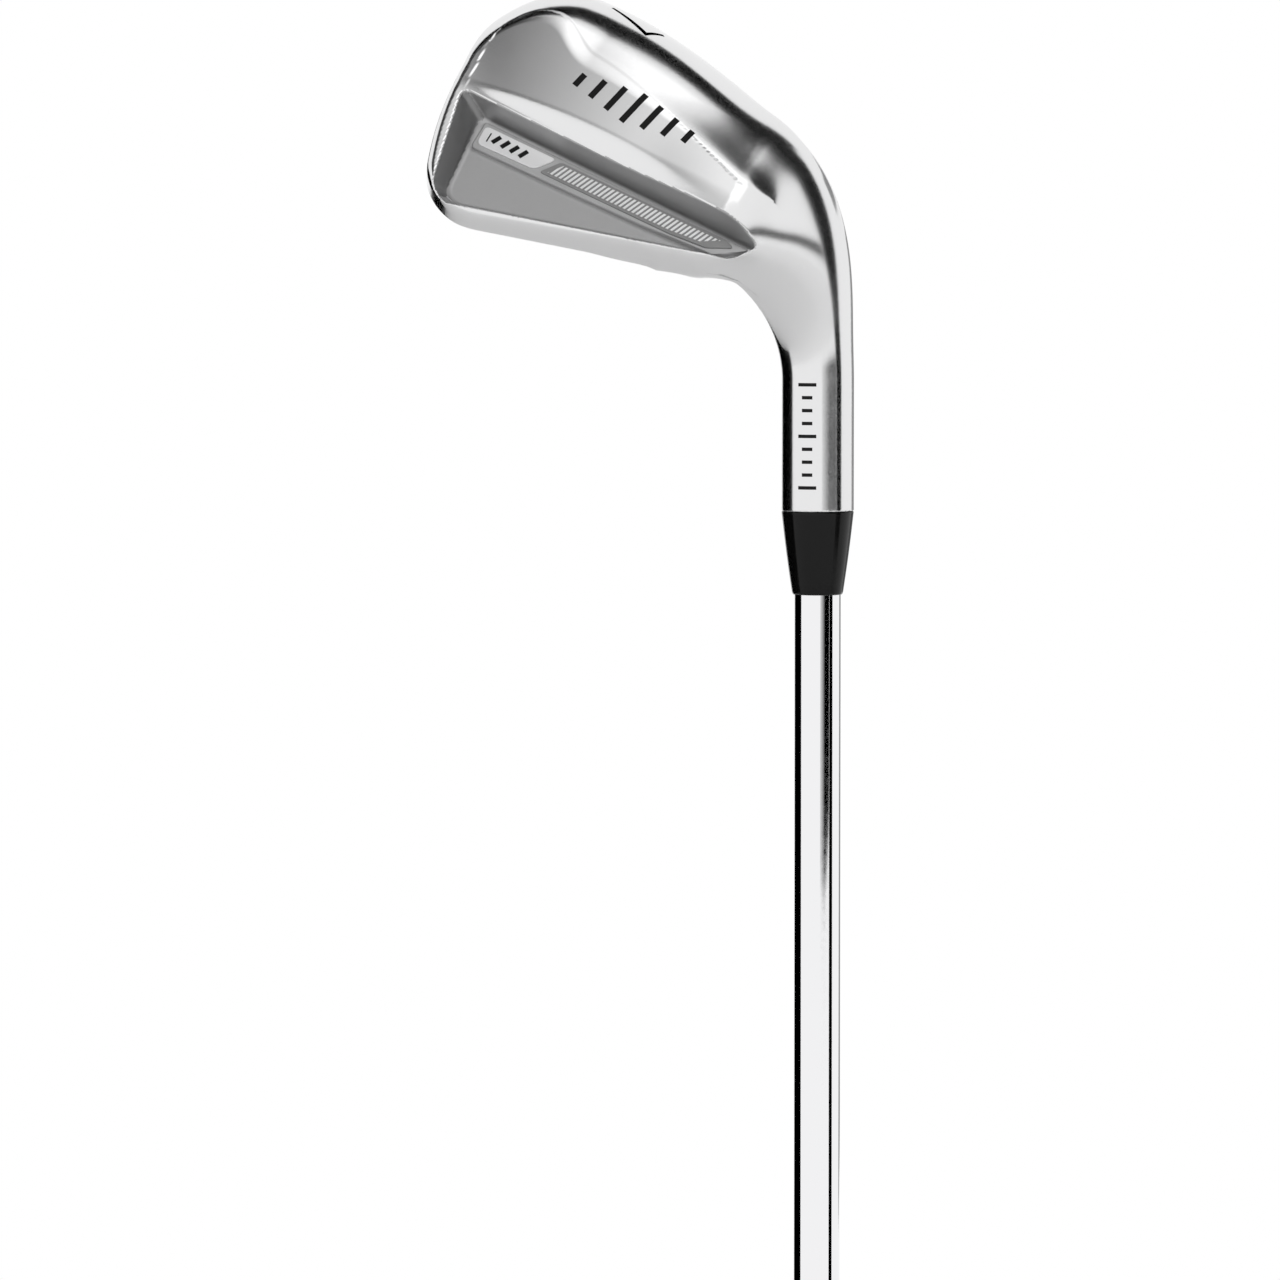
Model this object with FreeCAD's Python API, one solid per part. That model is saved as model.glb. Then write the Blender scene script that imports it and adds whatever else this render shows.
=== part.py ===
# Right-handed seven iron for golf, built head up with its shaft vertical, as it stands in a bag.
# Units are millimetres. The origin is the middle of the butt cap's flat end, on the shaft's axis.
# +Z runs up the shaft from butt to head, +Y is the direction the ball is sent, the toe is on the -X side.
import FreeCAD, Part
import math
import os

V = FreeCAD.Vector

# Club layout
CLUB_LENGTH = 939.8                   # butt end to the heel datum, measured along the shaft (37 inches)
LIE = math.radians(63.0)              # shaft against the ground at address
LOFT = math.radians(34.0)             # face against the shaft's plane
FACE_LEAD = 5.0                       # face plane ahead of the shaft axis, at the datum's height
HEEL_TO_TOE = V(-math.sin(LIE), 0, math.cos(LIE))
TARGET = V(0, 1, 0)
ADDRESS_UP = V(-math.cos(LIE), 0, -math.sin(LIE))
FACE_NORMAL = TARGET * math.cos(LOFT) + ADDRESS_UP * math.sin(LOFT)
FACE_UP = ADDRESS_UP * math.cos(LOFT) - TARGET * math.sin(LOFT)
BEHIND = FACE_NORMAL * -1
GROUND = V(0, 0, CLUB_LENGTH)

# Shaft, hosel and ferrule
TIP_R = 4.70                          # parallel tip, 0.370 inch
TIP_BORE_R = 4.05
BUTT_R = 7.62                         # 0.600 inch butt
BUTT_BORE_R = 7.15
FIRST_STEP_Z = 312.0
STEP_SPACING = 31.0
STEP_COUNT = 13
STEP_LENGTH = 1.2
HOSEL_R = 7.32
HOSEL_END_Z = CLUB_LENGTH - 78.6
HOSEL_BLEND_DEPTH = 54.0              # the hosel's plain cylinder ends this far below the datum
HOSEL_BORE_R = 4.85
HOSEL_BORE_DEPTH = 33.0
FERRULE_LENGTH = 16.9
FERRULE_SMALL_R = 5.15
FERRULE_CHAMFER = 0.5
PLUG_FLANGE = 1.4
PLUG_LENGTH = 16.0
TIP_END_Z = HOSEL_END_Z + HOSEL_BORE_DEPTH - 0.4 - PLUG_FLANGE

# Grip
CAP_DEPTH = 4.0
CAP_EDGE = 1.5                        # chamfer round the butt
VENT_R = 1.5                          # hole that lets air out as the grip is pushed on
GRIP_END_R = 13.3
GRIP_PARALLEL = 14.0                  # straight length at the butt, which a holder takes hold of
GRIP_LENGTH = 267.0
GRIP_MOUTH_R = 9.0
TAPE_R = 7.90
TAPE_STOP = 4.0                       # the tape ends short of the grip's mouth
MOUTH_ROUND = 0.8
MARK_RING_Z = 236.0
MARK_RING_WIDTH = 3.0
MARK_RING_DEPTH = 0.3
BAND_Z = 276.0
BAND_WIDTH = 22.0
BAND_THICKNESS = 0.08

# Blade
BLADE_START_H = 9.6                   # the heel's blend takes over here
BLADE_SWEEP = 80.0
BLADE_TOP_U = 58.03
PROFILE_LOW_U = -6.0                  # below the sole, which trims the profile
MUSCLE_EDGE_T = -14.90
MUSCLE_EDGE_U = 5.3
MUSCLE_SLOPE = 0.4626
CREASE_U = 19.3                       # where the muscle turns to the bevel over the cavity
BEVEL_LOW_T = -22.30
BEVEL_LOW_U = 24.4
RIM_TOP_T = -38.30
RIM_TOP_U = 55.2
TOPLINE_B = 43.3
TOPLINE_SLOPE = 0.3395
TOP_CORNER_R = 11.0
TOE_CENTRE_H = 0.8
TOE_CENTRE_B = 28.0
TOE_R = 66.0
TOE_FULL_H = 68.2                     # the toe's furthest reach, low down
TOE_FULL_B = 20.0
TOE_CORNER_R = 17.0                   # between the sole and the toe
OUTLINE_HEEL_H = 5.6
OUTLINE_LOW_B = -30.0
OUTLINE_DEPTH = 60.0
OUTLINE_MARGIN = 5.0
CAMBER_R = 92.0                       # heel to toe curve of the sole
CAMBER_SWEEP = 30.0                   # degrees each way, past both ends of the blade
CAMBER_LOW_H = 43.0                   # the sole's lowest point
SOLE_LOW_U = -2.1                     # below the heel datum
SOLE_LOW_T = -3.0
SOLE_ROLL_R = 12.8                    # front to back curve of the sole
SOLE_FRONT_T = 0.5
SOLE_MID_T = -6.2
SOLE_BACK_T = -13.2
LEAD_TOP_U = 3.0
LEAD_NOSE = (3.55, 0.3)               # (t, u) on the leading edge
TRAIL_TOP_U = 5.6
TRAIL_FAR_U = 40.0                    # clears the whole back of the blade
TRAIL_NOSE = (-14.25, 3.75)           # (t, u) on the trailing edge
POCKET_FLOOR = 3.2                    # face thickness left behind the strike face
GROOVE_COUNT = 13
GROOVE_PITCH = 3.55
GROOVE_FIRST_B = 8.0
GROOVE_DEPTH = 0.4
GROOVE_WIDTH = 0.8

# Inlaid marks
MARK_DEPTH = 0.4
MARK_REACH = 9.0                      # length of the straight cutters behind the marks
SEVEN_WIDTH = 0.9
MUSCLE_MARK_START = 8.0
MUSCLE_ROW_H = 31.3
MUSCLE_ROW_B = 23.6
MUSCLE_BAR_HEIGHTS = (3.0, 4.5, 6.0, 7.5, 6.0, 4.5, 3.0)
MUSCLE_BAR_PITCH = 4.2
MUSCLE_BAR_WIDTH = 1.3
MUSCLE_BAR_LEAN = 0.10
HOSEL_TICK_LOW = CLUB_LENGTH - 74.0
HOSEL_TICK_COUNT = 9
HOSEL_TICK_PITCH = 2.6
HOSEL_TICK_HEIGHT = 0.7
HOSEL_TICK_HALF = 1.1
HOSEL_TICK_HALF_WIDE = 1.9
HOSEL_TICK_TURN = -5.0                # degrees round the hosel


def head_point(h, t, u):
    """A point h along the blade, t towards the target and u up at address, from the heel datum."""
    return GROUND + HEEL_TO_TOE * h + TARGET * t + ADDRESS_UP * u


def face_point(h, b, behind):
    """A point h along the blade and b up the face, some way behind the strike face."""
    return head_point(h, FACE_LEAD, 0) + FACE_UP * b + BEHIND * behind


def prism(points, sweep):
    """Straight prism on a flat polygon."""
    return Part.Face(Part.makePolygon(points + [points[0]])).extrude(sweep)


def face_prism(outline, low, high):
    """Prism on a polygon drawn on the face plane, between two distances behind it."""
    return prism([face_point(h, b, low) for h, b in outline], BEHIND * (high - low))


def turned(profile):
    """Solid turned about the shaft axis from (radius, z) corners."""
    corners = [V(r, 0, z) for r, z in profile]
    ring = Part.Face(Part.makePolygon(corners + [corners[0]]))
    return ring.revolve(V(0, 0, 0), V(0, 0, 1), 360)


def ring(inner, outer, low, high):
    """Plain ring about the shaft axis."""
    return turned([(inner, low), (outer, low), (outer, high), (inner, high)])


def rod(radius, low, high):
    """Plain cylinder on the shaft axis."""
    return Part.makeCylinder(radius, high - low, V(0, 0, low))


def stroke(start, end, width, place):
    """Flat bar between two points of a drawing plane, as corners given by place(x, y)."""
    dx = end[0] - start[0]
    dy = end[1] - start[1]
    length = math.hypot(dx, dy)
    sx = -dy / length * width / 2
    sy = dx / length * width / 2
    corners = [(start[0] + sx, start[1] + sy), (end[0] + sx, end[1] + sy)]
    corners += [(end[0] - sx, end[1] - sy), (start[0] - sx, start[1] - sy)]
    return [place(x, y) for x, y in corners]


def skin_of(body, cutter, inward, depth):
    """The part of the cutter that lies in the outer layer of a body."""
    sunk = body.copy()
    sunk.translate(inward * depth)
    return cutter.common(body).cut(sunk)


def single(shape):
    """The shape's one solid, or all of them when there are several."""
    solids = shape.Solids
    if len(solids) == 1:
        return solids[0]
    return Part.makeCompound(solids)


# The blade is one profile swept heel to toe, trimmed by its outline and by the cambered sole.
def face_t(u):
    """Where the face plane stands at a height."""
    return FACE_LEAD - u * math.tan(LOFT)


def muscle_t(u):
    """Where the muscle's plane stands at a height."""
    return MUSCLE_EDGE_T - MUSCLE_SLOPE * (u - MUSCLE_EDGE_U)


def blade_profile():
    """Face, muscle, bevel and rim on a flat section across the blade."""
    corners = [(face_t(BLADE_TOP_U), BLADE_TOP_U), (face_t(PROFILE_LOW_U), PROFILE_LOW_U)]
    corners += [(muscle_t(PROFILE_LOW_U), PROFILE_LOW_U), (muscle_t(CREASE_U), CREASE_U)]
    corners += [(BEVEL_LOW_T, BEVEL_LOW_U), (RIM_TOP_T, RIM_TOP_U)]
    points = [head_point(BLADE_START_H, t, u) for t, u in corners]
    return Part.Face(Part.makePolygon(points + [points[0]]))


def arc(place, start, middle, end):
    """Arc through three points of a drawing plane."""
    return Part.Arc(place(*start), place(*middle), place(*end)).toShape()


def outline_prism():
    """Straight topline, round corner and one long toe arc, drawn on the face plane."""
    def place(h, b):
        return face_point(h, b, -OUTLINE_MARGIN)
    steep = math.hypot(1, TOPLINE_SLOPE)
    normal_h = -TOPLINE_SLOPE / steep
    normal_b = 1 / steep
    # The corner's centre is its radius below the topline and inside the toe's arc.
    reach = TOE_R - TOP_CORNER_R
    below = (TOE_CENTRE_B - TOPLINE_B - TOPLINE_SLOPE * TOE_CENTRE_H) / steep + TOP_CORNER_R
    along = math.sqrt(reach * reach - below * below)
    corner_h = TOE_CENTRE_H - below * normal_h + along * normal_b
    corner_b = TOE_CENTRE_B - below * normal_b - along * normal_h
    on_line = math.atan2(normal_b, normal_h)
    on_toe = math.atan2(corner_b - TOE_CENTRE_B, corner_h - TOE_CENTRE_H)

    def corner_spot(angle):
        return (corner_h + TOP_CORNER_R * math.cos(angle), corner_b + TOP_CORNER_R * math.sin(angle))

    def toe_spot(angle):
        return (TOE_CENTRE_H + TOE_R * math.cos(angle), TOE_CENTRE_B + TOE_R * math.sin(angle))
    edges = [arc(place, corner_spot(on_line), corner_spot((on_line + on_toe) / 2), corner_spot(on_toe))]
    edges.append(arc(place, toe_spot(on_toe), toe_spot(on_toe / 2), toe_spot(0)))
    heel_b = TOPLINE_B + TOPLINE_SLOPE * OUTLINE_HEEL_H
    straight = [toe_spot(0), (TOE_FULL_H, TOE_FULL_B), (TOE_FULL_H, OUTLINE_LOW_B)]
    straight += [(OUTLINE_HEEL_H, OUTLINE_LOW_B), (OUTLINE_HEEL_H, heel_b), corner_spot(on_line)]
    for start, end in zip(straight, straight[1:]):
        edges.append(Part.makeLine(place(*start), place(*end)))
    return Part.Face(Part.Wire(edges)).extrude(BEHIND * OUTLINE_DEPTH)


def toe_corner_prism():
    """Everything inside the big round corner between the sole and the toe, swept along the target line."""
    def place(h, u):
        return head_point(h, -OUTLINE_DEPTH, u)
    centre_h = TOE_FULL_H - TOE_CORNER_R
    centre_u = SOLE_LOW_U + TOE_CORNER_R
    lean = TOE_CORNER_R * math.sqrt(0.5)
    toe_end = (TOE_FULL_H, centre_u)
    sole_end = (centre_h, SOLE_LOW_U)
    edges = [arc(place, toe_end, (centre_h + lean, centre_u - lean), sole_end)]
    straight = [sole_end, (OUTLINE_HEEL_H, OUTLINE_LOW_B), (OUTLINE_HEEL_H, OUTLINE_DEPTH)]
    straight += [(TOE_FULL_H, OUTLINE_DEPTH), toe_end]
    for start, end in zip(straight, straight[1:]):
        edges.append(Part.makeLine(place(*start), place(*end)))
    return Part.Face(Part.Wire(edges)).extrude(TARGET * 2 * OUTLINE_DEPTH)


def sole_block():
    """Everything above the cambered sole, turned about an axis high over the sole."""
    def place(t, u):
        return head_point(CAMBER_LOW_H, t, u)

    def sole_spot(t):
        return (t, SOLE_LOW_U + (t - SOLE_LOW_T) ** 2 / (2 * SOLE_ROLL_R))
    lead_top = (face_t(LEAD_TOP_U), LEAD_TOP_U)
    trail_top = (muscle_t(TRAIL_TOP_U), TRAIL_TOP_U)
    edges = [Part.makeLine(place(face_t(BLADE_TOP_U), BLADE_TOP_U), place(*lead_top))]
    edges.append(arc(place, lead_top, LEAD_NOSE, sole_spot(SOLE_FRONT_T)))
    edges.append(arc(place, sole_spot(SOLE_FRONT_T), sole_spot(SOLE_MID_T), sole_spot(SOLE_BACK_T)))
    edges.append(arc(place, sole_spot(SOLE_BACK_T), TRAIL_NOSE, trail_top))
    corners = [trail_top, (-OUTLINE_DEPTH, TRAIL_FAR_U), (-OUTLINE_DEPTH, BLADE_TOP_U)]
    corners.append((face_t(BLADE_TOP_U), BLADE_TOP_U))
    for start, end in zip(corners, corners[1:]):
        edges.append(Part.makeLine(place(*start), place(*end)))
    section = Part.Face(Part.Wire(edges))
    pivot = place(0, SOLE_LOW_U + CAMBER_R)
    section.rotate(pivot, TARGET, -CAMBER_SWEEP)
    return section.revolve(pivot, TARGET, 2 * CAMBER_SWEEP)


# The heel turns from the round hosel into the blade on sections that fan about the crotch.
FAN_H = -1.3
FAN_U = 57.7
FAN_TO_AXIS = 25.0
RING_H = 10.0
RING_T = -12.5                        # middle of the ring below
RING_U = 19.0
RING_SHRINK = 0.985                   # keeps the blend's end just inside the blade
BLADE_END_RING = [
    (-24.6, 37.0), (-21.9, 38.6), (-17.4, 33.2), (-12.3, 25.7), (-7.3, 18.2), (-2.55, 11.2),
    (1.0, 6.4), (-1.2, 4.5), (-6.6, 4.4), (-11.6, 6.8), (-14.9, 10.6), (-17.7, 13.9),
    (-19.9, 17.0), (-21.3, 21.0), (-22.4, 25.2), (-27.0, 34.0)]


# Control points this far out give a closed cubic curve just under the hosel's radius.
POLE_R = (HOSEL_R - 0.06) * 3 / (2 + math.cos(2 * math.pi / len(BLADE_END_RING)))


def fan_section(angle, share, drop=0):
    """Closed curve on a plane through the fan's axis, part circle and part blade."""
    centre = head_point(FAN_H, 0, FAN_U) - V(0, 0, drop)
    outward = V(math.cos(angle), 0, math.sin(angle))
    points = []
    for index, (blade_t, blade_u) in enumerate(BLADE_END_RING):
        turn = 2 * math.pi * index / len(BLADE_END_RING)
        circle_out = FAN_TO_AXIS - POLE_R * math.cos(turn)
        circle_t = POLE_R * math.sin(turn)
        out = circle_out + share * (FAN_U - blade_u - circle_out)
        across = circle_t + share * (blade_t - circle_t)
        points.append(centre + outward * out + TARGET * across)
    return closed_curve(points)


def closed_curve(poles):
    """Smooth closed curve that stays inside its control points."""
    curve = Part.BSplineCurve()
    curve.buildFromPoles(poles, True, 3)
    return Part.Wire(curve.toShape())


def heel_blend():
    sections = [fan_section(0, 0, 6), fan_section(0, 0, 3)]
    for degrees, share in ((0, 0.0), (14, 0.05), (28, 0.19), (42, 0.45), (54, 0.74), (63, 0.90)):
        sections.append(fan_section(math.radians(degrees), share))
    buried = []
    for t, u in BLADE_END_RING:
        shrunk_t = RING_T + RING_SHRINK * (t - RING_T)
        shrunk_u = RING_U + RING_SHRINK * (u - RING_U)
        buried.append(head_point(RING_H, shrunk_t, shrunk_u))
    sections.append(closed_curve(buried))
    return Part.makeLoft(sections, True, False)


# The cavity behind the face, wider at its mouth than at its floor.
CAVITY_MOUTH = [
    (-5.4, 33.8), (20.0, 34.9), (63.6, 36.5), (62.6, 44.0), (60.6, 53.0), (58.0, 57.3), (54.2, 59.0),
    (49.7, 57.7), (24.0, 49.6), (8.8, 44.6), (1.4, 41.4), (-3.2, 37.6)]
CAVITY_FLOOR = [
    (-4.2, 34.9), (20.0, 36.0), (58.6, 37.6), (57.8, 44.0), (56.6, 50.6), (55.0, 53.4), (52.0, 55.4),
    (48.4, 55.2), (24.0, 47.5), (8.8, 42.8), (2.0, 40.1), (-2.4, 37.2)]


def cavity_cutter():
    mouth = [face_point(h, b, 8.6) for h, b in CAVITY_MOUTH]
    floor = [face_point(h, b, POCKET_FLOOR) for h, b in CAVITY_FLOOR]
    wires = [Part.makePolygon(ring_points + [ring_points[0]]) for ring_points in (floor, mouth)]
    pocket = Part.makeLoft(wires, True, True)
    return pocket.fuse(prism(mouth, BEHIND * 25))


def score_lines():
    grooves = []
    for row in range(GROOVE_COUNT):
        b = GROOVE_FIRST_B + GROOVE_PITCH * row
        heel_end = max(12.0, (b - 41.0) / 0.326)
        toe_end = 50.0
        half = GROOVE_WIDTH / 2
        corners = [face_point(heel_end, b - half, -1), face_point(heel_end, b + half, -1)]
        corners += [face_point(heel_end, b + half * 0.4, GROOVE_DEPTH)]
        corners += [face_point(heel_end, b - half * 0.4, GROOVE_DEPTH)]
        grooves.append(prism(corners, HEEL_TO_TOE * (toe_end - heel_end)))
    return Part.makeCompound(grooves)


blade = blade_profile().extrude(HEEL_TO_TOE * BLADE_SWEEP)
for trim in (outline_prism(), toe_corner_prism(), sole_block()):
    blade = blade.common(trim)
hosel = rod(HOSEL_R, HOSEL_END_Z, CLUB_LENGTH - HOSEL_BLEND_DEPTH)
solid_head = blade.fuse(heel_blend()).fuse(hosel)


# Inlaid marks: the club's number on the sole, plain bars on the muscle and ticks on the hosel.
def sole_number():
    """A seven of two strokes, cut into the sole."""
    def place(h, t):
        return head_point(h, t, SOLE_LOW_U - 1)
    foot = (36.2, -1.6)
    corner = (37.2, -9.6)
    tail = (47.2, -0.6)
    bars = [stroke(start, end, SEVEN_WIDTH, place) for start, end in ((foot, corner), (corner, tail))]
    seven = prism(bars[0], ADDRESS_UP * MARK_REACH).fuse(prism(bars[1], ADDRESS_UP * MARK_REACH))
    return skin_of(solid_head, seven, ADDRESS_UP, MARK_DEPTH)


def muscle_marks():
    """A row of leaning bars, tallest in the middle."""
    def place(h, b):
        return face_point(h, b, MUSCLE_MARK_START)
    bars = []
    middle = (len(MUSCLE_BAR_HEIGHTS) - 1) / 2
    for index, height in enumerate(MUSCLE_BAR_HEIGHTS):
        bar_h = MUSCLE_ROW_H + (index - middle) * MUSCLE_BAR_PITCH
        lean = MUSCLE_BAR_LEAN * height
        start = (bar_h - lean, MUSCLE_ROW_B - height / 2)
        end = (bar_h + lean, MUSCLE_ROW_B + height / 2)
        bars.append(prism(stroke(start, end, MUSCLE_BAR_WIDTH, place), BEHIND * MARK_REACH))
    return skin_of(solid_head, Part.makeCompound(bars), FACE_NORMAL, MARK_DEPTH)


def hosel_marks():
    """A column of ticks up the back of the hosel, every fourth one wider."""
    ticks = []
    for index in range(HOSEL_TICK_COUNT):
        half_width = HOSEL_TICK_HALF if index % 4 else HOSEL_TICK_HALF_WIDE
        corner = V(-half_width, -HOSEL_R - 2, HOSEL_TICK_LOW + HOSEL_TICK_PITCH * index)
        tick = Part.makeBox(2 * half_width, MARK_REACH, HOSEL_TICK_HEIGHT, corner)
        tick.rotate(V(0, 0, 0), V(0, 0, 1), HOSEL_TICK_TURN)
        ticks.append(tick)
    hosel_skin = ring(HOSEL_R - MARK_DEPTH, HOSEL_R, HOSEL_END_Z + 1, CLUB_LENGTH - HOSEL_BLEND_DEPTH + 5)
    return Part.makeCompound(ticks).common(hosel_skin)


sole_number_fill = sole_number()
muscle_mark_fill = muscle_marks()
hosel_mark_fill = hosel_marks()

bore = rod(HOSEL_BORE_R, HOSEL_END_Z, HOSEL_END_Z + HOSEL_BORE_DEPTH)
head_body = solid_head.cut(bore).cut(cavity_cutter()).cut(score_lines())
for fill in (sole_number_fill, muscle_mark_fill, hosel_mark_fill):
    head_body = head_body.cut(fill)
head_body = single(head_body)

# The badge glued in the cavity: adhesive, soft base, a number plate and a ribbed plate.
BADGE_OUTLINE = [
    (57.2, 38.2), (56.8, 44.2), (37.8, 43.1), (18.1, 42.0), (3.4, 40.4), (-1.2, 37.0), (-2.6, 35.6)]
NUMBER_OUTLINE = [(56.4, 38.9), (40.3, 38.2), (43.2, 42.5), (56.1, 43.3)]
RIB_OUTLINE = [(39.1, 38.2), (20.0, 37.4), (1.4, 36.6), (5.0, 40.0), (12.1, 40.9), (41.9, 42.4)]
ADHESIVE_TOP = POCKET_FLOOR + 0.25
BASE_TOP = ADHESIVE_TOP + 0.9
PLATE_TOP = BASE_TOP + 0.45
RIB_HEIGHT = 0.2
RIB_PITCH = 0.95
RIB_WIDTH = 0.5
RIB_LEAN = 2.5
RIB_COUNT = 40
RIB_FIRST_H = 2.0
RIB_LOW_B = 36.0
RIB_HIGH_B = 43.0
DASH_COUNT = 4
DASH_PITCH = 2.1
DASH_WIDTH = 0.9
DASH_DEPTH = 0.2
DASH_FOOT = (46.3, 39.7)
DASH_HEAD = (47.2, 41.7)


def ribbed_plate():
    """Plate with slanted ribs standing on it."""
    ribs = []
    for index in range(RIB_COUNT):
        foot = RIB_FIRST_H + RIB_PITCH * index
        corners = [(foot, RIB_LOW_B), (foot + RIB_WIDTH, RIB_LOW_B)]
        corners += [(foot + RIB_WIDTH + RIB_LEAN, RIB_HIGH_B), (foot + RIB_LEAN, RIB_HIGH_B)]
        ribs.append(face_prism(corners, PLATE_TOP, PLATE_TOP + RIB_HEIGHT))
    plate = face_prism(RIB_OUTLINE, BASE_TOP, PLATE_TOP)
    return single(face_prism(RIB_OUTLINE, BASE_TOP, PLATE_TOP + RIB_HEIGHT).common(plate.fuse(ribs)))


def badge_dashes():
    """Painted dashes let into the number plate."""
    def place(h, b):
        return face_point(h, b, PLATE_TOP - DASH_DEPTH)
    dashes = []
    for index in range(DASH_COUNT):
        shift = DASH_PITCH * index
        start = (DASH_FOOT[0] + shift, DASH_FOOT[1])
        end = (DASH_HEAD[0] + shift, DASH_HEAD[1])
        dashes.append(prism(stroke(start, end, DASH_WIDTH, place), BEHIND * DASH_DEPTH))
    return Part.makeCompound(dashes)


badge_adhesive = face_prism(BADGE_OUTLINE, POCKET_FLOOR, ADHESIVE_TOP)
badge_base = face_prism(BADGE_OUTLINE, ADHESIVE_TOP, BASE_TOP)
badge_mark_fill = badge_dashes()
number_plate = single(face_prism(NUMBER_OUTLINE, BASE_TOP, PLATE_TOP).cut(badge_mark_fill))
rib_plate = ribbed_plate()

# Hosel joint: shaft tip, plug, epoxy and ferrule.
ferrule_low = HOSEL_END_Z - FERRULE_LENGTH
ferrule = turned([
    (TIP_R, ferrule_low), (FERRULE_SMALL_R - FERRULE_CHAMFER * 0.6, ferrule_low),
    (FERRULE_SMALL_R, ferrule_low + FERRULE_CHAMFER), (HOSEL_R, HOSEL_END_Z), (TIP_R, HOSEL_END_Z)])
hosel_epoxy = turned([
    (TIP_R, HOSEL_END_Z), (HOSEL_BORE_R, HOSEL_END_Z), (HOSEL_BORE_R, HOSEL_END_Z + HOSEL_BORE_DEPTH),
    (0, HOSEL_END_Z + HOSEL_BORE_DEPTH), (0, TIP_END_Z + PLUG_FLANGE), (TIP_R, TIP_END_Z + PLUG_FLANGE)])
plug = rod(TIP_BORE_R, TIP_END_Z - PLUG_LENGTH, TIP_END_Z)
tip_weight = plug.fuse(rod(TIP_R, TIP_END_Z, TIP_END_Z + PLUG_FLANGE)).removeSplitter()


# The shaft is a tube that steps down from butt to tip.
def shaft_corners():
    outer = [(BUTT_R, CAP_DEPTH)]
    step_drop = (BUTT_R - TIP_R) / STEP_COUNT
    radius = BUTT_R
    for index in range(STEP_COUNT):
        step_z = FIRST_STEP_Z + STEP_SPACING * index
        outer.append((radius, step_z))
        radius -= step_drop
        outer.append((radius, step_z + STEP_LENGTH))
    outer.append((TIP_R, TIP_END_Z))
    last_step_z = FIRST_STEP_Z + STEP_SPACING * STEP_COUNT
    inner = [(TIP_BORE_R, TIP_END_Z), (TIP_BORE_R, last_step_z)]
    inner += [(BUTT_BORE_R, FIRST_STEP_Z - STEP_LENGTH), (BUTT_BORE_R, CAP_DEPTH)]
    return outer + inner


shaft = turned(shaft_corners())
shaft_band = ring(BUTT_R, BUTT_R + BAND_THICKNESS, BAND_Z, BAND_Z + BAND_WIDTH)


# Grip: cap, tape, rubber sleeve and a painted ring near its mouth.
def grip_radius(z):
    """Outer radius of the tapering sleeve."""
    along = (z - GRIP_PARALLEL) / (GRIP_LENGTH - GRIP_PARALLEL)
    return GRIP_END_R + (GRIP_MOUTH_R - GRIP_END_R) * max(0.0, along)


grip_cap = turned([
    (VENT_R, 0), (GRIP_END_R - CAP_EDGE, 0), (GRIP_END_R, CAP_EDGE),
    (GRIP_END_R, CAP_DEPTH), (VENT_R, CAP_DEPTH)])
grip_tape = ring(BUTT_R, TAPE_R, CAP_DEPTH, GRIP_LENGTH - TAPE_STOP)
ring_top = MARK_RING_Z + MARK_RING_WIDTH
grip_mark_fill = turned([
    (grip_radius(MARK_RING_Z) - MARK_RING_DEPTH, MARK_RING_Z), (grip_radius(MARK_RING_Z), MARK_RING_Z),
    (grip_radius(ring_top), ring_top), (grip_radius(ring_top) - MARK_RING_DEPTH, ring_top)])
grip_sleeve = turned([
    (TAPE_R, CAP_DEPTH), (GRIP_END_R, CAP_DEPTH), (GRIP_END_R, GRIP_PARALLEL),
    (grip_radius(GRIP_LENGTH - MOUTH_ROUND), GRIP_LENGTH - MOUTH_ROUND),
    (GRIP_MOUTH_R - MOUTH_ROUND, GRIP_LENGTH),
    (BUTT_R, GRIP_LENGTH), (BUTT_R, GRIP_LENGTH - TAPE_STOP), (TAPE_R, GRIP_LENGTH - TAPE_STOP)])
grip_sleeve = single(grip_sleeve.cut(grip_mark_fill))

nodes = {
    "head_body": head_body,
    "badge_adhesive": badge_adhesive,
    "badge_base": badge_base,
    "badge_number_plate": number_plate,
    "badge_rib_plate": rib_plate,
    "badge_mark_fill": badge_mark_fill,
    "sole_number_fill": single(sole_number_fill),
    "muscle_mark_fill": single(muscle_mark_fill),
    "hosel_mark_fill": single(hosel_mark_fill),
    "ferrule": ferrule,
    "hosel_epoxy": hosel_epoxy,
    "tip_weight": tip_weight,
    "shaft": shaft,
    "shaft_band": shaft_band,
    "grip_tape": grip_tape,
    "grip_sleeve": grip_sleeve,
    "grip_mark_fill": grip_mark_fill,
    "grip_cap": grip_cap,
}
os.makedirs("parts", exist_ok=True)
for name, shape in nodes.items():
    shape.exportStep("parts/" + name + ".step")
    print(name, len(shape.Solids), shape.isValid(), round(shape.Volume, 1))
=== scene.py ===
# Looks of the iron golf club: head, badge, ferrule, shaft and grip, with its studio.
# The club stands head up on its butt, +Z up the shaft, +Y towards the target, the toe on the -X side.
import math
import bpy
import numpy as np
from mathutils import Matrix, Vector


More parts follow.
